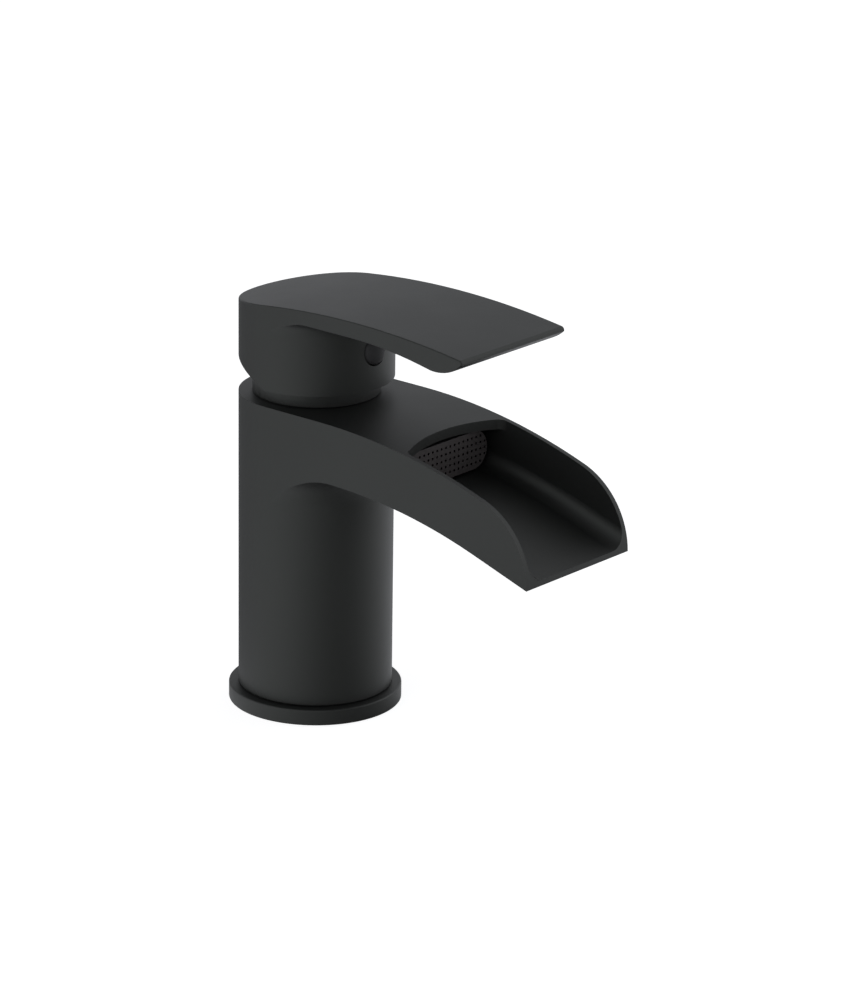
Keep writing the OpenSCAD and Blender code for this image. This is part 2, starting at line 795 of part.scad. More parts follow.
module handle() {
  plug_y = plug_seat - body_r;
  rise_cy = cup_rise_r * sin(cup_rise_a);
  rise_cz = cup_z - cup_rise_r * cos(cup_rise_a);
  color(matte_black) difference() {
    intersection() {
      union() {
        translate([0, 0, cup_z]) cylinder(r = body_r, h = crown_z - cup_z);
        across(body_d) lever_outline();
        front_blend(lever_blend_r, lever_under_z);
      }
      arched_top();
    }
    across(2 * body_d) intersection() {
      translate([rise_cy, rise_cz]) circle(r = cup_rise_r, $fn = arc_fn);
      translate([0, deck_h]) square([body_d, crown_h]);
    }
    difference() {
      translate([0, 0, deck_h]) cylinder(r = cup_in_r, h = cup_roof_z - deck_h);
      translate([0, 0, hub_z]) cylinder(r = hub_r, h = crown_h);
      block(rib_w, -body_r, 0, hub_z, crown_z);
    }
    block(socket_w, -socket_w / 2, socket_w / 2, deck_h, hub_z + socket_l);
    pin_forward(plug_hole_d / 2, plug_seat + cut, plug_y, grub_z);
    pin_forward(grub_d / 2 + run_fit, body_r - plug_seat + cut, 0, grub_z);
  }
}

module grub_screw() {
  tip_y = -spindle_w / 2;
  color(steel) difference() {
    pin_forward(grub_d / 2, grub_l, tip_y, grub_z);
    translate([0, tip_y - grub_l + grub_key_l, grub_z]) rotate([90, 0, 0])
      cylinder(r = grub_key_w / sqrt(3), h = grub_key_l + cut, $fn = 6);
  }
}

module screw_plug() {
  plug_y = plug_seat - body_r;
  color(matte_black) translate([0, plug_y, grub_z]) rotate([90, 0, 0]) {
    cylinder(r = plug_hole_d / 2 - run_fit, h = plug_rim_l);
    cylinder(r = plug_r, h = plug_seat);
    intersection() {
      translate([0, 0, plug_seat + plug_dome_l - plug_dome_r]) sphere(r = plug_dome_r);
      cylinder(r = plug_r, h = plug_seat + plug_dome_l + cut);
    }
  }
}

module grille_holes() {
  for (row = [0 : hole_rows - 1], col = [0 : hole_columns - 1]) {
    x = (col - (hole_columns - 1) / 2) * hole_pitch;
    z = (row - (hole_rows - 1) / 2) * hole_pitch;
    end_column = col == 0 || col == hole_columns - 1;
    end_row = row == 0 || row == hole_rows - 1;
    if (!(end_column && end_row))
      translate([x, 0, z]) rotate([90, 0, 0]) cylinder(d = hole_d, h = grille_t + 2 * cut, $fn = small_fn);
  }
}

module outlet_grille() {
  back_y = grille_t - grille_face;
  skirt_y = back_y + skirt_l;
  color(grille_grey) difference() {
    union() {
      stadium(grille_w, grille_h, grille_t, back_y);
      stadium(skirt_w, skirt_h, skirt_l, skirt_y);
    }
    stadium(skirt_w - 2 * skirt_t, skirt_h - 2 * skirt_t, skirt_l + cut, skirt_y + cut);
    translate([0, back_y + cut, grille_z]) grille_holes();
    difference() {
      stadium(skirt_w + cut, skirt_h + cut, seal_w, skirt_y - seal_back);
      stadium(skirt_w - 2 * seal_t, skirt_h - 2 * seal_t, seal_w, skirt_y - seal_back);
    }
  }
}

module grille_seal() {
  seal_y = grille_t - grille_face + skirt_l - seal_back;
  color(rubber_black) difference() {
    stadium(skirt_w + slip_fit, skirt_h + slip_fit, seal_w, seal_y);
    stadium(skirt_w - 2 * seal_t, skirt_h - 2 * seal_t, seal_w + 2 * cut, seal_y + cut);
  }
}

body();
base_ring();
base_gasket();
cartridge_base();
seat_seals();
disc_seals();
cartridge_housing();
housing_seal();
fixed_disc();
moving_disc();
disc_carrier();
turning_sleeve();
sleeve_seal();
pivot_pin();
lever_spindle();
cartridge_nut();
collar_ring();
collar();
handle();
grub_screw();
screw_plug();
outlet_grille();
grille_seal();
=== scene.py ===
"""Waterfall basin faucet: finishes, rounded edges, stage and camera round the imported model."""

import json
import math

import bmesh
import bpy
from bpy.props import FloatProperty, FloatVectorProperty, IntProperty, PointerProperty
from bpy.types import Operator, Panel, PropertyGroup
from mathutils import Matrix, Vector


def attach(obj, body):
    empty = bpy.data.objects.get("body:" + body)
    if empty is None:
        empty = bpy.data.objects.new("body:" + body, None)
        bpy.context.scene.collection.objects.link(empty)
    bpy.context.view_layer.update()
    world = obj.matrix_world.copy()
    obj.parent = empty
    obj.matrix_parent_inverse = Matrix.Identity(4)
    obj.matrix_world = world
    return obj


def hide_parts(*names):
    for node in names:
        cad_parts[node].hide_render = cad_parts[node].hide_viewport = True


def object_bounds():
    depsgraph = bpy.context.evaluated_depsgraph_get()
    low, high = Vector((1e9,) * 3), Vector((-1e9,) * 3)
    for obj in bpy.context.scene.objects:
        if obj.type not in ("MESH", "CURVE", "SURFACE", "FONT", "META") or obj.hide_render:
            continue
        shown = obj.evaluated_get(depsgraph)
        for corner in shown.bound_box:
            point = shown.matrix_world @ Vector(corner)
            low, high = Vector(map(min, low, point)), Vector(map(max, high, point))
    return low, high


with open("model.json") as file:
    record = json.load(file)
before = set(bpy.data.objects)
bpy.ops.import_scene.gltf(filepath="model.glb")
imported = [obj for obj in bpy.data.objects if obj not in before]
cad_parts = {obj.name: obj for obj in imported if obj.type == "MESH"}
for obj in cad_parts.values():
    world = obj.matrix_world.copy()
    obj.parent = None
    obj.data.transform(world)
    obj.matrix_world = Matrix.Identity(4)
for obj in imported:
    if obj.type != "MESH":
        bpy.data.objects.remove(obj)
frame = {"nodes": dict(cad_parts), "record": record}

bl_info = {
    "name": "Waterfall Basin Faucet",
    "version": (1, 0, 0),
    "blender": (4, 5, 0),
    "location": "3D View > Sidebar > Faucet",
    "description": "Dresses the packed basin faucet with its finishes, edges and studio",
    "category": "Object",
}

NODES = frame["nodes"]
CAD_LOW, CAD_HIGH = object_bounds()

# The body that each node belongs to, from the record
BODY_OF = {
    node: body for body, nodes in frame["record"]["behaviour"]["bodies"].items() for node in nodes
}


def widest(node):
    """Half the width of a node, along X."""
    return max(corner[0] for corner in NODES[node].bound_box)


def mid_height(node):
    """Height of the middle of a node's box."""
    return sum(corner[2] for corner in NODES[node].bound_box) / 8


# Half the width of the column, the cup and the lever
HALF_WIDTH = widest("body")

# The plug in the front of the cup, and how far from its axis the edges of its hole lie at most
PLUG_HEIGHT = mid_height("screw_plug")
PLUG_HALF = widest("screw_plug")
HOLE_REACH = 1.2 * PLUG_HALF

# The lever lies above this height, or ahead of this place along Y, and its sides lie beyond this
LEVER_ABOVE = mid_height("handle")
LEVER_AHEAD = -1.15 * HALF_WIDTH
LEVER_SIDE = 0.99 * HALF_WIDTH

# The angles above which an edge is rounded, and below which it is shaded smooth
ROUND_ABOVE = math.radians(32)
SMOOTH_BELOW = math.radians(40)

# The upward part of a normal on the handle's side and on its top, and the sideways part of one
# next to a flat side of the lever and on it
SIDE_BELOW, TOP_ABOVE = 0.3, 0.7
BESIDE_BELOW, FLAT_ABOVE = 0.88, 0.95

# Vertices this close are merged, and faces this close to one plane become one face
MERGE_WITHIN = 2e-7
FLAT_WITHIN = math.radians(0.5)

# A vertex this close to the round side of the column or the cup, in a face whose normal has this
# share of the way out from the axis, takes the round side's own normal
ON_SIDE = 0.00002
OUTWARD_SHARE = 0.985

# A face this much larger than its neighbours keeps its own normal up to its edges
FLAT_SHARE = 2.5

# Shape of the plug's dome: 0.5 is an ellipsoid's, 1 is a paraboloid's
DOME_POWER = 0.6

# Depth of the plug's rear shoulder, and how close to the cup's front its face starts
SHOULDER_DEPTH = 0.001
FACE_WITHIN = 1e-6

# The floor, and its distance below the tap, which keeps the two faces apart
FLOOR_RADIUS = 6.0
FLOOR_SEGMENTS = 96
FLOOR_GAP = 0.0001

# Heights of a direction in the light: it fades from the first, and the even light low round the
# tap ends between the other two
FADE_FROM = 0.15
HORIZON_FROM, HORIZON_TO = 0.1, 0.4

# The range of the noise over which a coat's colour and roughness change, how much its roughness
# does, and the depth of its grain as a share of the grain's size
NOISE_FROM, NOISE_TO = 0.3, 0.7
ROUGHNESS_CHANGE = 0.012
GRAIN_DEPTH = 0.12

# The grille's front faces are those whose normal along Y is below this. A normal with less than
# WALL_BELOW of their direction is a hole's wall, which is painted in shade: it keeps the last
# share of the colour
LOOKS_AHEAD = -0.7
WALL_BELOW, PLATE_ABOVE = 0.6, 0.9
WALL_SHADE_SHARE = 0.05

# Machined metal: the range of the noise, how much smoother and rougher than the mean it gets, the
# darkest tone's share of the colour, and the depth of the rings as a share of their pitch
METAL_FROM, METAL_TO = 0.2, 0.8
SMOOTHER, ROUGHER = 0.06, 0.08
DARK_SHARE = 0.85
RING_DEPTH = 0.1

# Finish of every node that is hidden inside the tap at rest
INNER_FINISHES = {
    "base_gasket": "rubber",
    "seat_seals": "rubber",
    "disc_seals": "rubber",
    "housing_seal": "rubber",
    "sleeve_seal": "rubber",
    "collar_ring": "rubber",
    "grille_seal": "rubber",
    "cartridge_base": "cream",
    "cartridge_housing": "cream",
    "disc_carrier": "slate",
    "turning_sleeve": "slate",
    "fixed_disc": "ceramic",
    "moving_disc": "ceramic",
    "pivot_pin": "steel",
    "lever_spindle": "steel",
    "grub_screw": "steel",
    "cartridge_nut": "brass",
}

# The moulded finishes inside the tap: the grain is its size, and the mottle its share of the colour
MOULDED = {
    "rubber": {
        "colour": (0.018, 0.018, 0.018), "roughness": 0.62, "grain": 0.0004, "bump": 0.3,
        "mottle": 0.15,
    },
    "ceramic": {
        "colour": (0.82, 0.8, 0.75), "roughness": 0.16, "grain": 0.0001, "bump": 0.05,
        "mottle": 0.03, "ior": 1.7,
    },
    "cream": {
        "colour": (0.66, 0.63, 0.54), "roughness": 0.45, "grain": 0.0003, "bump": 0.2,
        "mottle": 0.04,
    },
    "slate": {
        "colour": (0.13, 0.17, 0.22), "roughness": 0.42, "grain": 0.0003, "bump": 0.2,
        "mottle": 0.05,
    },
}


class FaucetFinish(PropertyGroup):
    """Colours and surface values of the tap's finishes."""

    coat_colour: FloatVectorProperty(
        name="Coat colour", description="Colour of the matte black powder coat",
        subtype="COLOR", size=3, min=0, max=1, default=(0.0036, 0.0038, 0.0037),
    )
    coat_roughness: FloatProperty(
        name="Coat roughness", description="Mean roughness of the powder coat",
        min=0.1, max=1, default=0.51, subtype="FACTOR",
    )
    coat_gloss: FloatProperty(
        name="Coat gloss", description="Specular level of the powder coat",
        min=0, max=1, default=0.64, subtype="FACTOR",
    )
    coat_sheen_colour: FloatVectorProperty(
        name="Coat sheen colour", description="Faint green cast of the powder coat's gloss",
        subtype="COLOR", size=3, min=0, max=1, default=(0.963, 1.0, 0.933),
    )
    coat_grain: FloatProperty(
        name="Coat grain", description="Size of the powder coat's grain",
        min=0.00002, max=0.002, default=0.00022, unit="LENGTH",
    )
    coat_mottle: FloatProperty(
        name="Coat mottle", description="Share by which the coats' colour varies",
        min=0, max=1, default=0.06, subtype="FACTOR",
    )
    plug_roughness: FloatProperty(
        name="Plug roughness", description="Mean roughness of the plug",
        min=0.1, max=1, default=0.42, subtype="FACTOR",
    )
    grille_colour: FloatVectorProperty(
        name="Grille colour", description="Colour of the outlet grille's warm grey finish",
        subtype="COLOR", size=3, min=0, max=1, default=(0.062, 0.055, 0.0535),
    )
    grille_roughness: FloatProperty(
        name="Grille roughness", description="Mean roughness of the outlet grille",
        min=0.1, max=1, default=0.42, subtype="FACTOR",
    )
    brass_colour: FloatVectorProperty(
        name="Brass colour", description="Colour of the bare machined brass",
        subtype="COLOR", size=3, min=0, max=1, default=(0.72, 0.5, 0.22),
    )
    steel_colour: FloatVectorProperty(
        name="Steel colour", description="Colour of the stainless steel",
        subtype="COLOR", size=3, min=0, max=1, default=(0.56, 0.57, 0.58),
    )


class FaucetEdges(PropertyGroup):
    """Small edge roundings that a cast, ground and coated tap has, and the plug's face."""

    body_round: FloatProperty(
        name="Body edges", description="Rounding of the body's edges",
        min=0, max=0.001, default=0.0002, unit="LENGTH",
    )
    handle_round: FloatProperty(
        name="Handle edges", description="Rounding of the handle's other edges",
        min=0, max=0.001, default=0.00025, unit="LENGTH",
    )
    lever_round: FloatProperty(
        name="Lever outline", description="Rounding round the handle's top and the lever's sides",
        min=0, max=0.001, default=0.00045, unit="LENGTH",
    )
    trim_round: FloatProperty(
        name="Trim edges", description="Rounding of the base ring and the collar",
        min=0, max=0.0005, default=0.00015, unit="LENGTH",
    )
    plug_dome: FloatProperty(
        name="Plug dome", description="Height of the plug's dome over its rim",
        min=0, max=0.003, default=0.0017, unit="LENGTH",
    )
    plug_width: FloatProperty(
        name="Plug width", description="Width of the plug's face over the construction's",
        min=0.9, max=1.08, default=0.99, subtype="FACTOR",
    )
    segments: IntProperty(
        name="Segments", description="Faces across each rounded edge", min=1, max=6, default=3,
    )


class FaucetStudio(PropertyGroup):
    """Camera and light."""

    azimuth: FloatProperty(
        name="Azimuth", description="Camera angle round the tap", default=math.radians(-49.787),
        subtype="ANGLE",
    )
    elevation: FloatProperty(
        name="Elevation", description="Camera angle above the horizon",
        default=math.radians(18.988), subtype="ANGLE",
    )
    roll: FloatProperty(
        name="Roll", description="Camera turn about its own axis", default=math.radians(0.749),
        subtype="ANGLE",
    )
    lens: FloatProperty(
        name="Lens", description="Focal length for the sensor", default=172.18,
        subtype="DISTANCE_CAMERA",
    )
    sensor: FloatProperty(
        name="Sensor", description="Width of the camera's sensor", default=36,
        subtype="DISTANCE_CAMERA",
    )
    place: FloatVectorProperty(
        name="Place", description="Camera place", size=3, subtype="TRANSLATION", unit="LENGTH",
        default=(-1.050208, -0.931293, 0.547790),
    )
    front: FloatProperty(
        name="Dark front", description="Direction of the studio's unlit front, from the spout's",
        default=math.radians(-14.8), subtype="ANGLE",
    )
    side_light: FloatProperty(
        name="Side light", description="Strength of the soft light to the left and right",
        min=0, max=4, default=1.74,
    )
    end_light: FloatProperty(
        name="End light", description="Strength of the soft light at the front and back",
        min=0, max=4, default=0.471,
    )
    top_light: FloatProperty(
        name="Top light", description="Share of the light that is left overhead",
        min=0, max=1, default=0.18, subtype="FACTOR",
    )
    horizon_light: FloatProperty(
        name="Horizon light", min=0, max=4, default=0.8,
        description="Strength of the even light low round the tap in its gloss",
    )
    light_colour: FloatVectorProperty(
        name="Light colour", description="Faint cool cast of the soft light", subtype="COLOR",
        size=3, min=0, max=1, default=(0.939, 0.952, 1.0),
    )
    floor_colour: FloatVectorProperty(
        name="Floor colour", description="Colour of the pale floor", subtype="COLOR", size=3,
        min=0, max=1, default=(0.44, 0.44, 0.44),
    )
    floor_sheen: FloatProperty(
        name="Floor sheen", min=0, max=1, default=0.7, subtype="FACTOR",
        description="White of the floor that the tap's gloss shows at its sides",
    )
    floor_white: FloatProperty(
        name="Floor white", description="White that the camera sees under the tap's faint shadow",
        min=0, max=1, default=0.85, subtype="FACTOR",
    )


# Shader helpers


def new_node(tree, kind, **values):
    """A shader node with its properties set."""
    made = tree.nodes.new(kind)
    for key, value in values.items():
        setattr(made, key, value)
    return made


def set_inputs(made, **values):
    """Sets a node's input values; an underscore stands for a space in an input's name."""
    for key, value in values.items():
        made.inputs[key.replace("_", " ")].default_value = value
    return made


def wire(tree, source, output, target, entry):
    """Links an output of one node to an input of another."""
    tree.links.new(source.outputs[output], target.inputs[entry])


def joined(tree, operation, first, second):
    """The output of a Math node on two outputs, or on an output and a number."""
    made = new_node(tree, "ShaderNodeMath", operation=operation)
    tree.links.new(first, made.inputs[0])
    if isinstance(second, float):
        made.inputs[1].default_value = second
    else:
        tree.links.new(second, made.inputs[1])
    return made.outputs["Value"]


def ranged(tree, source, low, high, at_low, at_high, kind="LINEAR"):
    """The output of a Map Range node."""
    made = new_node(tree, "ShaderNodeMapRange", interpolation_type=kind)
    set_inputs(made, From_Min=low, From_Max=high, To_Min=at_low, To_Max=at_high)
    tree.links.new(source, made.inputs["Value"])
    return made.outputs["Result"]


def two_tone(tree, source, low, high, dark, light):
    """The colour output of a ramp between two colours."""
    ramp = new_node(tree, "ShaderNodeValToRGB")
    for element, place, colour in zip(ramp.color_ramp.elements, (low, high), (dark, light)):
        element.position = place
        element.color = (*colour, 1)
    tree.links.new(source, ramp.inputs["Fac"])
    return ramp.outputs["Color"]


def raise_surface(tree, shader, height, strength, distance):
    """Feeds a height to the shader as a fine bump."""
    lift = set_inputs(new_node(tree, "ShaderNodeBump"), Strength=strength, Distance=distance)
    tree.links.new(height, lift.inputs["Height"])
    wire(tree, lift, "Normal", shader, "Normal")


def coat_group():
    """Fine powder grain: a height, a roughness and a mottle mask that change over the surface."""
    group = bpy.data.node_groups.get("Coat grain")
    if group:
        return group
    group = bpy.data.node_groups.new("Coat grain", "ShaderNodeTree")
    sockets = group.interface
    sockets.new_socket(name="Vector", in_out="INPUT", socket_type="NodeSocketVector")
    for name, value in (("Grain scale", 4500), ("Mottle scale", 45), ("Mean roughness", 0.45)):
        entry = sockets.new_socket(name=name, in_out="INPUT", socket_type="NodeSocketFloat")
        entry.default_value = value
    for name in ("Height", "Roughness", "Mottle"):
        sockets.new_socket(name=name, in_out="OUTPUT", socket_type="NodeSocketFloat")
    given = new_node(group, "NodeGroupInput")
    leave = new_node(group, "NodeGroupOutput")
    grain = set_inputs(new_node(group, "ShaderNodeTexNoise"), Detail=3, Roughness=0.55)
    mottle = set_inputs(new_node(group, "ShaderNodeTexNoise"), Detail=4, Roughness=0.6)
    for noise, scale in ((grain, "Grain scale"), (mottle, "Mottle scale")):
        wire(group, given, "Vector", noise, "Vector")
        wire(group, given, scale, noise, "Scale")
    change = ranged(
        group, mottle.outputs["Fac"], NOISE_FROM, NOISE_TO, -ROUGHNESS_CHANGE, ROUGHNESS_CHANGE,
    )
    rough = joined(group, "ADD", given.outputs["Mean roughness"], change)
    wire(group, grain, "Fac", leave, "Height")
    group.links.new(rough, leave.inputs["Roughness"])
    wire(group, mottle, "Fac", leave, "Mottle")
    return group


def new_material(name):
    """A material with its node tree, its Principled shader and its coordinates."""
    made = bpy.data.materials.new(name)
    made.use_nodes = True
    tree = made.node_tree
    tree.nodes.clear()
    leave = new_node(tree, "ShaderNodeOutputMaterial")
    shader = new_node(tree, "ShaderNodeBsdfPrincipled")
    wire(tree, shader, "BSDF", leave, "Surface")
    return made, tree, shader, new_node(tree, "ShaderNodeTexCoord")


def grained(
    name, colour, roughness, grain, bump, mottle, gloss=0.5, ior=1.5, cast=(1, 1, 1), shade=None,
):
    """A coated, moulded or cast surface: mottled colour, uneven roughness and a fine grain."""
    made, tree, shader, place = new_material(name)
    group = new_node(tree, "ShaderNodeGroup", node_tree=coat_group())
    set_inputs(group, Grain_scale=1 / grain, Mean_roughness=roughness)
    wire(tree, place, "Object", group, "Vector")
    dark = [part * (1 - mottle) for part in colour]
    light = [min(1.0, part * (1 + mottle)) for part in colour]
    tone = two_tone(tree, group.outputs["Mottle"], NOISE_FROM, NOISE_TO, dark, light)
    # a given shade step paints shade into the colour, as on the grille's hole walls
    if shade:
        tone = shade(tree, place, tone)
    tree.links.new(tone, shader.inputs["Base Color"])
    wire(tree, group, "Roughness", shader, "Roughness")
    raise_surface(tree, shader, group.outputs["Height"], bump, grain * GRAIN_DEPTH)
    set_inputs(shader, Specular_IOR_Level=gloss, Specular_Tint=(*cast, 1), IOR=ior)
    return made


def shade_hole_walls(tree, place, tone):
    """Paints shade on the walls of the grille's holes by darkening their colour."""
    ahead = Vector()
    for face in NODES["outlet_grille"].data.polygons:
        if face.normal.y < LOOKS_AHEAD:
            ahead += face.normal * face.area
    along = new_node(tree, "ShaderNodeVectorMath", operation="DOT_PRODUCT")
    wire(tree, place, "Normal", along, 0)
    along.inputs[1].default_value = ahead.normalized()
    size = new_node(tree, "ShaderNodeMath", operation="ABSOLUTE")
    wire(tree, along, "Value", size, 0)
    # painted shade: a hole's wall keeps only a small share of the colour
    share = ranged(tree, size.outputs["Value"], WALL_BELOW, PLATE_ABOVE, WALL_SHADE_SHARE, 1)
    tint = new_node(tree, "ShaderNodeVectorMath", operation="SCALE")
    tree.links.new(tone, tint.inputs[0])
    tree.links.new(share, tint.inputs["Scale"])
    return tint.outputs["Vector"]


def turned(name, colour, roughness, pitch):
    """Machined metal with fine rings from the lathe round the column's axis."""
    made, tree, shader, place = new_material(name)
    wave = new_node(tree, "ShaderNodeTexWave", wave_type="BANDS", bands_direction="Z")
    set_inputs(wave, Scale=math.pi / (10 * pitch), Distortion=1.5, Detail=2, Detail_Scale=40)
    wire(tree, place, "Object", wave, "Vector")
    noise = set_inputs(new_node(tree, "ShaderNodeTexNoise"), Scale=220, Detail=4)
    wire(tree, place, "Object", noise, "Vector")
    rough = ranged(
        tree, noise.outputs["Fac"], METAL_FROM, METAL_TO, roughness - SMOOTHER, roughness + ROUGHER,
    )
    tree.links.new(rough, shader.inputs["Roughness"])
    dark = [part * DARK_SHARE for part in colour]
    tone = two_tone(tree, noise.outputs["Fac"], 0, 1, dark, colour)
    tree.links.new(tone, shader.inputs["Base Color"])
    raise_surface(tree, shader, wave.outputs["Fac"], 0.2, pitch * RING_DEPTH)
    set_inputs(shader, Metallic=1.0)
    return made


def finish(kind):
    """The material of that name, made the first time that it is asked for."""
    if kind in bpy.data.materials:
        return bpy.data.materials[kind]
    if kind in MOULDED:
        return grained(kind, **MOULDED[kind])
    look = bpy.context.scene.faucet_finish
    coat = {
        "colour": look.coat_colour, "grain": look.coat_grain, "mottle": look.coat_mottle,
        "gloss": look.coat_gloss, "cast": look.coat_sheen_colour,
    }
    if kind == "matte_black":
        return grained(kind, roughness=look.coat_roughness, bump=0.2, **coat)
    if kind == "black_plug":
        return grained(kind, roughness=look.plug_roughness, bump=0.15, **coat)
    if kind == "grille_grey":
        return grained(
            kind, look.grille_colour, look.grille_roughness, look.coat_grain, bump=0.25,
            # the walls of the grille's holes get painted shade
            mottle=look.coat_mottle, shade=shade_hole_walls,
        )
    if kind == "brass":
        return turned(kind, look.brass_colour, roughness=0.3, pitch=0.0002)
    if kind == "steel":
        return turned(kind, look.steel_colour, roughness=0.28, pitch=0.00015)
    raise ValueError(kind)


# Geometry helpers


def dress(piece, kind):
    """Gives an object one finish, in the slots that it has or in a new one."""
    material = finish(kind)
    if not piece.material_slots:
        piece.data.materials.append(material)
    for entry in piece.material_slots:
        entry.link = "OBJECT"
        entry.material = material


def smooth_fans(vert):
    """The faces round a vertex, in groups that no sharp edge divides."""
    left = list(vert.link_faces)
    while left:
        fan = [left.pop(0)]
        for face in fan:
            for edge in face.edges:
                if edge.smooth and vert in edge.verts:
                    beyond = [other for other in edge.link_faces if other in left]
                    left = [other for other in left if other not in beyond]
                    fan.extend(beyond)
        yield fan


def fan_normal(vert, fan, rounded, keep_flats):
    """A fan's shading normal: large flat faces keep theirs, and rounded edges bend to them."""
    main = [face for face in fan if face not in rounded] or fan
    out = Vector((vert.co.x, vert.co.y, 0))
    if abs(out.length - HALF_WIDTH) < ON_SIDE:
        if all(face.normal.dot(out) > OUTWARD_SHARE * out.length for face in main):
            return out.normalized()
    areas = sorted(((face.calc_area(), face.index) for face in main), reverse=True)
    if len(areas) == 1 or (keep_flats and areas[0][0] > FLAT_SHARE * areas[1][0]):
        return next(face.normal for face in main if face.index == areas[0][1]).copy()
    total = Vector()
    for face in main:
        corner = next(loop for loop in face.loops if loop.vert == vert)
        total += face.normal * corner.calc_angle()
    return total.normalized()


def corner_normals(shape, rounded, keep_flats):
    """The shading normal of every face corner, in the mesh's order."""
    shape.verts.index_update()
    shape.faces.index_update()
    shape.normal_update()
    found = {}
    for vert in shape.verts:
        for fan in smooth_fans(vert):
            normal = fan_normal(vert, fan, rounded, keep_flats)
            for face in fan:
                found[face.index, vert.index] = normal
    return [found[face.index, loop.vert.index] for face in shape.faces for loop in face.loops]


def midpoint(edge):
    """The middle of an edge."""
    return (edge.verts[0].co + edge.verts[1].co) / 2


def at_plug_hole(edge):
    """True for an edge in or round the plug's hole, which stays as the construction has it."""
    middle = midpoint(edge)
    away = math.hypot(middle.x, middle.z - PLUG_HEIGHT)
    return middle.y < -PLUG_HALF and away < HOLE_REACH


def sharp_edges(shape):
    """The edges to round over."""
    return [
        edge for edge in shape.edges
        if len(edge.link_faces) == 2 and edge.calc_face_angle(0) > ROUND_ABOVE
        and not at_plug_hole(edge)
    ]


def round_top(edge):
    """True for an edge between the handle's top and its side."""
    low, high = sorted(face.normal.z for face in edge.link_faces)
    return low < SIDE_BELOW and high > TOP_ABOVE


def round_lever_side(edge):
    """True for an edge round a flat side of the lever."""
    middle = midpoint(edge)
    low, high = sorted(abs(face.normal.x) for face in edge.link_faces)
    on_lever = middle.z > LEVER_ABOVE or middle.y < LEVER_AHEAD
    at_side = abs(middle.x) > LEVER_SIDE and low < BESIDE_BELOW and high > FLAT_ABOVE
    return on_lever and at_side


def round_edges(shape, edges, width, clamp):
    """Rounds edges over and returns the faces that this makes."""
    result = bmesh.ops.bevel(
        shape, geom=edges, offset=width, offset_type="OFFSET",
        segments=bpy.context.scene.faucet_edges.segments, profile=0.5, affect="EDGES",
        clamp_overlap=clamp, material=-1, miter_outer="SHARP", miter_inner="SHARP",
        loop_slide=True,
    )
    return result["faces"]


def rounded_copy(node, name, kind, width, outline_width=0.0, change=None, keep_flats=True):
    """A copy of a CAD node whose sharp edges are rounded over; it replaces the node.

    With an outline width, the outline of the handle's top and of the lever's sides is rounded by
    that first. A change is made to the copy before it is rounded. Flats aren't kept on a piece
    that is curved all over.
    """
    shape = bmesh.new()
    shape.from_mesh(NODES[node].data)
    bmesh.ops.remove_doubles(shape, verts=shape.verts, dist=MERGE_WITHIN)
    bmesh.ops.dissolve_limit(
        shape, angle_limit=FLAT_WITHIN, verts=shape.verts, edges=shape.edges,
        use_dissolve_boundaries=False, delimit=set(),
    )
    if change:
        change(shape)
    rounded = []
    if outline_width:
        outline = [
            edge for edge in sharp_edges(shape) if round_top(edge) or round_lever_side(edge)
        ]
        rounded = round_edges(shape, outline, outline_width, False)
    rounded += round_edges(shape, sharp_edges(shape), width, True)
    rounded = {face for face in rounded if face.is_valid}
    for edge in shape.edges:
        edge.smooth = len(edge.link_faces) == 2 and edge.calc_face_angle(0) < SMOOTH_BELOW
    for face in shape.faces:
        face.smooth = True
    normals = corner_normals(shape, rounded, keep_flats)
    mesh = bpy.data.meshes.new(name)
    shape.to_mesh(mesh)
    shape.free()
    mesh.normals_split_custom_set(normals)
    piece = bpy.data.objects.new(name, mesh)
    bpy.context.scene.collection.objects.link(piece)
    dress(piece, kind)
    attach(piece, BODY_OF[node])
    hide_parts(node)
    return piece


# Light helpers


def side_mask(tree, source, output, front):
    """One to the tap's left and right, falling softly to nought in front of it and behind it."""
    level = new_node(tree, "ShaderNodeVectorMath", operation="MULTIPLY")
    wire(tree, source, output, level, 0)
    level.inputs[1].default_value = (1, 1, 0)
    unit = new_node(tree, "ShaderNodeVectorMath", operation="NORMALIZE")
    wire(tree, level, "Vector", unit, 0)
    across = new_node(tree, "ShaderNodeVectorMath", operation="DOT_PRODUCT")
    wire(tree, unit, "Vector", across, 0)
    across.inputs[1].default_value = (math.cos(front), math.sin(front), 0)
    return joined(tree, "MULTIPLY", across.outputs["Value"], across.outputs["Value"])


def ray_masks(tree):
    """One where the camera sees a thing itself or through glass, and one in a gloss."""
    path = new_node(tree, "ShaderNodeLightPath")
    camera, glass = path.outputs["Is Camera Ray"], path.outputs["Is Transmission Ray"]
    return joined(tree, "MAXIMUM", camera, glass), path.outputs["Is Glossy Ray"]


def cool_or_white(tree, seen, colour, strength, target):
    """Gives a light its cool cast, but pure white where the camera sees it itself."""
    made = new_node(tree, "ShaderNodeMix", data_type="RGBA")
    factor, cool, white = made.inputs["Factor"], made.inputs[6], made.inputs[7]
    tree.links.new(seen, factor)
    cool.default_value = (*[strength * part / colour[1] for part in colour], 1)
    white.default_value = (1, 1, 1, 1)
    tree.links.new(made.outputs[2], target)


# Operators


class FAUCET_OT_body(Operator):
    """Round the body casting's edges and coat it"""

    bl_idname = "faucet.body"
    bl_label = "Body"

    def execute(self, context):
        rounded_copy("body", "coated_body", "matte_black", context.scene.faucet_edges.body_round)
        return {"FINISHED"}


class FAUCET_OT_handle(Operator):
    """Round the handle's edges and coat it"""

    bl_idname = "faucet.handle"
    bl_label = "Handle"

    def execute(self, context):
        edges = context.scene.faucet_edges
        rounded_copy(
            "handle", "coated_handle", "matte_black", edges.handle_round,
            outline_width=edges.lever_round,
        )
        return {"FINISHED"}


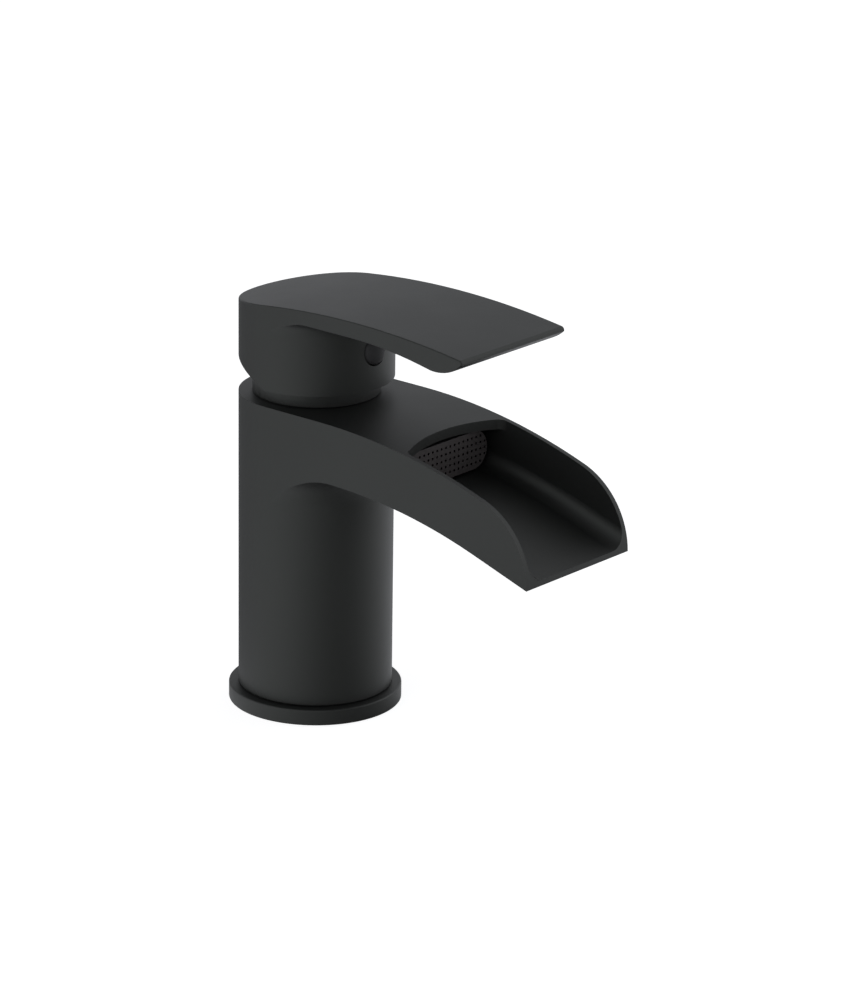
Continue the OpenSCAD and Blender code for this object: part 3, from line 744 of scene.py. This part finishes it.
class FAUCET_OT_trim(Operator):
    """Round and coat the base ring and the collar, and dome the plug"""

    bl_idname = "faucet.trim"
    bl_label = "Ring, collar and plug"

    def dome_plug(self, shape):
        """Domes the plug's face, whose rim follows the cup's side."""
        edges = bpy.context.scene.faucet_edges
        back = max(vert.co.y for vert in shape.verts)
        stem = [vert for vert in shape.verts if vert.co.y < back - SHOULDER_DEPTH]
        reach = max(math.hypot(vert.co.x, vert.co.z - PLUG_HEIGHT) for vert in stem)
        for vert in stem:
            x = vert.co.x * edges.plug_width
            z = (vert.co.z - PLUG_HEIGHT) * edges.plug_width
            y = vert.co.y
            if y < FACE_WITHIN - HALF_WIDTH:
                share = min(1, (x ** 2 + z ** 2) / (reach * edges.plug_width) ** 2)
                side = math.sqrt(HALF_WIDTH ** 2 - x ** 2)
                y = -side - edges.plug_dome * (1 - share) ** DOME_POWER
            vert.co = (x, y, PLUG_HEIGHT + z)

    def execute(self, context):
        width = context.scene.faucet_edges.trim_round
        rounded_copy("base_ring", "coated_base_ring", "matte_black", width)
        rounded_copy("collar", "coated_collar", "matte_black", width, keep_flats=False)
        rounded_copy(
            "screw_plug", "moulded_plug", "black_plug", width, change=self.dome_plug,
            keep_flats=False,
        )
        return {"FINISHED"}


class FAUCET_OT_grille(Operator):
    """Give the outlet grille its warm grey finish, with painted shade on the walls of its holes"""

    bl_idname = "faucet.grille"
    bl_label = "Grille"

    def execute(self, context):
        dress(NODES["outlet_grille"], "grille_grey")
        return {"FINISHED"}


class FAUCET_OT_cartridge(Operator):
    """Finish the cartridge, the nut, the seals and the screw inside the tap"""

    bl_idname = "faucet.cartridge"
    bl_label = "Cartridge and seals"

    def execute(self, context):
        for node, kind in INNER_FINISHES.items():
            dress(NODES[node], kind)
        return {"FINISHED"}


class FAUCET_OT_stage(Operator):
    """Make the pale floor, the soft light and the camera"""

    bl_idname = "faucet.stage"
    bl_label = "Stage"

    def floor_material(self, studio):
        """A pale floor that takes the tap's shadow, looks white and shows in the tap's gloss."""
        material = bpy.data.materials.new("pale_floor")
        material.use_nodes = True
        tree = material.node_tree
        tree.nodes.clear()
        leave = new_node(tree, "ShaderNodeOutputMaterial")
        place = new_node(tree, "ShaderNodeTexCoord")
        lit = set_inputs(new_node(tree, "ShaderNodeBsdfDiffuse"), Color=(*studio.floor_colour, 1))
        seen, glossy = ray_masks(tree)
        side = side_mask(tree, place, "Object", studio.front)
        sheen = joined(tree, "MULTIPLY", joined(tree, "MULTIPLY", side, studio.floor_sheen), glossy)
        plain = joined(tree, "MULTIPLY", seen, studio.floor_white)
        white = new_node(tree, "ShaderNodeEmission")
        tree.links.new(joined(tree, "MAXIMUM", plain, sheen), white.inputs["Strength"])
        cool_or_white(tree, seen, studio.light_colour, 1.0, white.inputs["Color"])
        both = new_node(tree, "ShaderNodeAddShader")
        wire(tree, lit, "BSDF", both, 0)
        wire(tree, white, "Emission", both, 1)
        wire(tree, both, "Shader", leave, "Surface")
        return material

    def make_floor(self, studio):
        shape = bmesh.new()
        bmesh.ops.create_circle(shape, cap_ends=True, segments=FLOOR_SEGMENTS, radius=FLOOR_RADIUS)
        mesh = bpy.data.meshes.new("floor")
        shape.to_mesh(mesh)
        shape.free()
        mesh.materials.append(self.floor_material(studio))
        floor = bpy.data.objects.new("floor", mesh)
        floor.location.z = CAD_LOW.z - FLOOR_GAP
        bpy.context.scene.collection.objects.link(floor)

    def make_world(self, studio):
        """Soft light from the sides, with an even light low round the tap in its gloss."""
        world = bpy.data.worlds.new("soft_studio")
        bpy.context.scene.world = world
        world.use_nodes = True
        tree = world.node_tree
        tree.nodes.clear()
        leave = new_node(tree, "ShaderNodeOutputWorld")
        place = new_node(tree, "ShaderNodeTexCoord")
        parts = new_node(tree, "ShaderNodeSeparateXYZ")
        wire(tree, place, "Generated", parts, "Vector")
        height = parts.outputs["Z"]
        side = side_mask(tree, place, "Generated", studio.front)
        strip = ranged(tree, side, 0, 1, studio.end_light, studio.side_light)
        fade = ranged(tree, height, FADE_FROM, 1, 1, studio.top_light)
        light = set_inputs(
            new_node(tree, "ShaderNodeBackground"), Color=(*studio.light_colour, 1),
        )
        tree.links.new(joined(tree, "MULTIPLY", strip, fade), light.inputs["Strength"])
        seen, glossy = ray_masks(tree)
        low = ranged(tree, height, HORIZON_FROM, HORIZON_TO, 1, 0, "SMOOTHSTEP")
        backdrop = new_node(tree, "ShaderNodeBackground")
        cool_or_white(
            tree, seen, studio.light_colour, studio.horizon_light, backdrop.inputs["Color"],
        )
        pick = new_node(tree, "ShaderNodeMixShader")
        sheen = joined(tree, "MULTIPLY", low, glossy)
        tree.links.new(joined(tree, "MAXIMUM", seen, sheen), pick.inputs["Fac"])
        wire(tree, light, "Background", pick, 1)
        wire(tree, backdrop, "Background", pick, 2)
        wire(tree, pick, "Shader", leave, "Surface")

    def make_camera(self, studio):
        data = bpy.data.cameras.new("camera")
        camera = bpy.data.objects.new("camera", data)
        bpy.context.scene.collection.objects.link(camera)
        turn, tilt, roll = studio.azimuth, studio.elevation, studio.roll
        level = math.cos(tilt)
        back = Vector((math.sin(turn) * level, -math.cos(turn) * level, math.sin(tilt)))
        right = Vector((math.cos(turn), math.sin(turn), 0))
        up = back.cross(right)
        rolled_right = math.cos(roll) * right + math.sin(roll) * up
        rolled_up = -math.sin(roll) * right + math.cos(roll) * up
        facing = Matrix((rolled_right, rolled_up, back)).transposed()
        camera.matrix_world = Matrix.Translation(studio.place) @ facing.to_4x4()
        data.sensor_width = studio.sensor
        data.lens = studio.lens
        data.clip_start, data.clip_end = 0.05, 50
        bpy.context.scene.camera = camera

    def execute(self, context):
        studio = context.scene.faucet_studio
        self.make_floor(studio)
        self.make_world(studio)
        self.make_camera(studio)
        context.scene.view_settings.view_transform = "Standard"
        return {"FINISHED"}


STEPS = (
    FAUCET_OT_body, FAUCET_OT_handle, FAUCET_OT_trim, FAUCET_OT_grille, FAUCET_OT_cartridge,
    FAUCET_OT_stage,
)
GROUPS = {
    "faucet_finish": FaucetFinish, "faucet_edges": FaucetEdges, "faucet_studio": FaucetStudio,
}


class FAUCET_PT_panel(Panel):
    """Lists the steps that dress the tap, and their settings"""

    bl_label = "Waterfall Basin Faucet"
    bl_idname = "FAUCET_PT_panel"
    bl_space_type = "VIEW_3D"
    bl_region_type = "UI"
    bl_category = "Faucet"

    def draw(self, context):
        column = self.layout.column()
        for step in STEPS:
            column.operator(step.bl_idname)
        for name, kind in GROUPS.items():
            for setting in kind.__annotations__:
                column.prop(getattr(context.scene, name), setting)


def register():
    for kind in (*GROUPS.values(), *STEPS, FAUCET_PT_panel):
        bpy.utils.register_class(kind)
    for name, kind in GROUPS.items():
        setattr(bpy.types.Scene, name, PointerProperty(type=kind))


def unregister():
    for name in GROUPS:
        delattr(bpy.types.Scene, name)
    for kind in (FAUCET_PT_panel, *reversed(STEPS), *reversed(GROUPS.values())):
        bpy.utils.unregister_class(kind)


def main():
    register()
    bpy.ops.faucet.body()
    bpy.ops.faucet.handle()
    bpy.ops.faucet.trim()
    bpy.ops.faucet.grille()
    bpy.ops.faucet.cartridge()
    bpy.ops.faucet.stage()
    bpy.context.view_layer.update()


if __name__ == "__main__":
    main()
